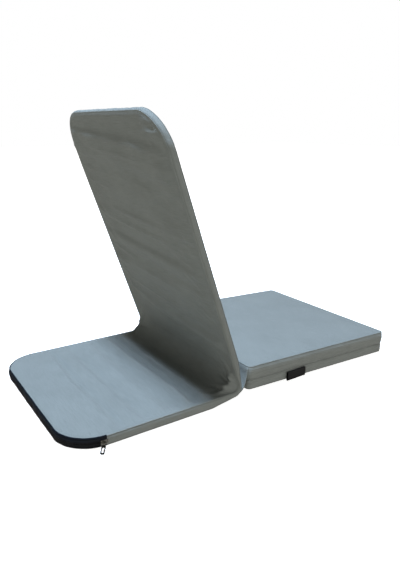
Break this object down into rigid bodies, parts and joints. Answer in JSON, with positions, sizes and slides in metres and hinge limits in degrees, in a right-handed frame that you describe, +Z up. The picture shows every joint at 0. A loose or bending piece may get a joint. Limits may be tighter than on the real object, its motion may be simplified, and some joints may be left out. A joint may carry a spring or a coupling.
{
  "type": "folding floor chair",
  "caption": "Folding floor chair: a padded back on two ratchet hinges leans over a flat base pad, with a thick seat cushion on a cloth web in front and a zipped cover.",
  "frame": {"origin": "the middle of the base pad's flat underside, on the floor", "axes": "+Z up; the sitter faces -Y and the base pad reaches back to +Y; X across, the zip pull and the side label on -X"},
  "size_m": [0.4114, 0.7683, 0.5321],
  "materials": {
    "cover_cloth": "woven polyester, matt with a faint sheen",
    "foam": "open-cell foam",
    "frame_paint": "satin powder coat",
    "hinge_steel": "zinc plated",
    "zip_black": "woven tape and nylon coil",
    "zip_metal": "plated",
    "label_black": "woven, bare"
  },
  "bodies": {
    "base": {"base_frame_tube": "frame_paint", "base_cross_bar": "frame_paint", "base_foam_upper": "foam", "base_foam_lower": "foam", "base_cover_top": "cover_cloth", "base_cover_bottom": "cover_cloth", "base_cover_side_walls": "cover_cloth", "zipper_tape_upper": "zip_black", "zipper_tape_lower": "zip_black", "zipper_coils": "zip_black", "zipper_end_stops": "zip_metal", "hinge_base_plates_left": "hinge_steel", "hinge_base_plates_right": "hinge_steel", "hinge_pivot_rivets": "hinge_steel", "hinge_pawl_rivets": "hinge_steel", "hinge_pawl_springs": "hinge_steel"},
    "back": {"back_frame_tube": "frame_paint", "back_cross_bar": "frame_paint", "back_foam_front": "foam", "back_foam_rear": "foam", "back_cover_front": "cover_cloth", "back_cover_rear": "cover_cloth", "back_cover_side_wall": "cover_cloth", "bend_cover": "cover_cloth", "bend_foam": "foam", "hinge_toothed_arm_left": "hinge_steel", "hinge_toothed_arm_right": "hinge_steel", "seat_hinge_web": "cover_cloth"},
    "seat": {"seat_foam_block": "foam", "seat_cover_top": "cover_cloth", "seat_cover_upper_band": "cover_cloth", "seat_cover_lower_band": "cover_cloth", "seat_cover_bottom": "cover_cloth", "seat_side_label": "label_black"},
    "pawl_left": {"hinge_pawl_left": "hinge_steel"},
    "pawl_right": {"hinge_pawl_right": "hinge_steel"},
    "slider": {"zipper_slider": "zip_metal"},
    "pull": {"zipper_pull": "zip_metal"}
  },
  "joints": [
    {"name": "back_fold", "type": "hinge", "parent": "base", "child": "back", "pos_m": [0, -0.1905, 0.026], "axis": [-1, 0, 0], "range_deg": [0, 70], "deforming": ["bend_cover", "bend_foam"]},
    {"name": "seat_fold", "type": "hinge", "parent": "back", "child": "seat", "pos_m": [0, -0.22469, 0.05396], "axis": [-1, 0, 0], "range_deg": [0, 110]},
    {"name": "pawl_left_lift", "type": "hinge", "parent": "base", "child": "pawl_left", "pos_m": [-0.179, -0.1735, 0.013], "axis": [-1, 0, 0], "range_deg": [0, 25]},
    {"name": "pawl_right_lift", "type": "hinge", "parent": "base", "child": "pawl_right", "pos_m": [0.179, -0.1735, 0.013], "axis": [-1, 0, 0], "range_deg": [0, 25]},
    {"name": "zipper_slider_travel", "type": "hinge", "parent": "base", "child": "slider", "pos_m": [-0.127, 0.0725, 0.01], "axis": [0, 0, -1], "range_deg": [0, 82]},
    {"name": "zipper_pull_swing", "type": "hinge", "parent": "slider", "child": "pull", "pos_m": [-0.20051, 0.07955, 0.01], "axis": [0.6492, 0.7606, 0], "range_deg": [-60, 100]}
  ],
  "couplings": [
    {"joint": "pawl_left_lift", "follows": "back_fold", "ratio": 0.35},
    {"joint": "pawl_right_lift", "follows": "back_fold", "ratio": 0.35}
  ]
}
